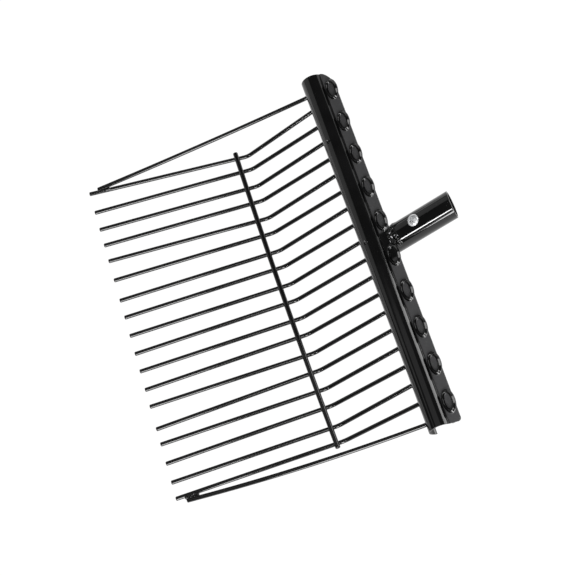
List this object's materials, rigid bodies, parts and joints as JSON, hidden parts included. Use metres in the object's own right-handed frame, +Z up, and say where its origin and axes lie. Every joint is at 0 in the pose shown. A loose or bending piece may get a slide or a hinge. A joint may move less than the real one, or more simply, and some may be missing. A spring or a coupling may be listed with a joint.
{
  "type": "manure fork head",
  "caption": "Wire-tined manure fork head with a pressed sheet bar, hairpin tines bent like a scoop, side braces, a cross rod and a tube socket for a handle.",
  "frame": {"origin": "on the ground under the middle of the fork's outline, as it lies with its hollow side up", "axes": "+X along the head, +Y from the tine tips to the socket, +Z up"},
  "size_m": [0.446, 0.3884, 0.0668],
  "materials": {
    "black_paint": "gloss black paint",
    "zinc": "bright zinc"
  },
  "bodies": {
    "root": {"head_shell": "black_paint", "backing_strip_left": "black_paint", "backing_strip_right": "black_paint", "socket_tube": "black_paint", "socket_weld": "black_paint", "hairpin_wire_01": "black_paint", "hairpin_wire_02": "black_paint", "hairpin_wire_03": "black_paint", "hairpin_wire_04": "black_paint", "hairpin_wire_05": "black_paint", "hairpin_wire_06": "black_paint", "hairpin_wire_07": "black_paint", "hairpin_wire_08": "black_paint", "hairpin_wire_09": "black_paint", "hairpin_wire_10": "black_paint", "cross_rod": "black_paint", "brace_weld_01": "black_paint", "brace_weld_10": "black_paint", "socket_screw": "zinc"}
  },
  "joints": []
}
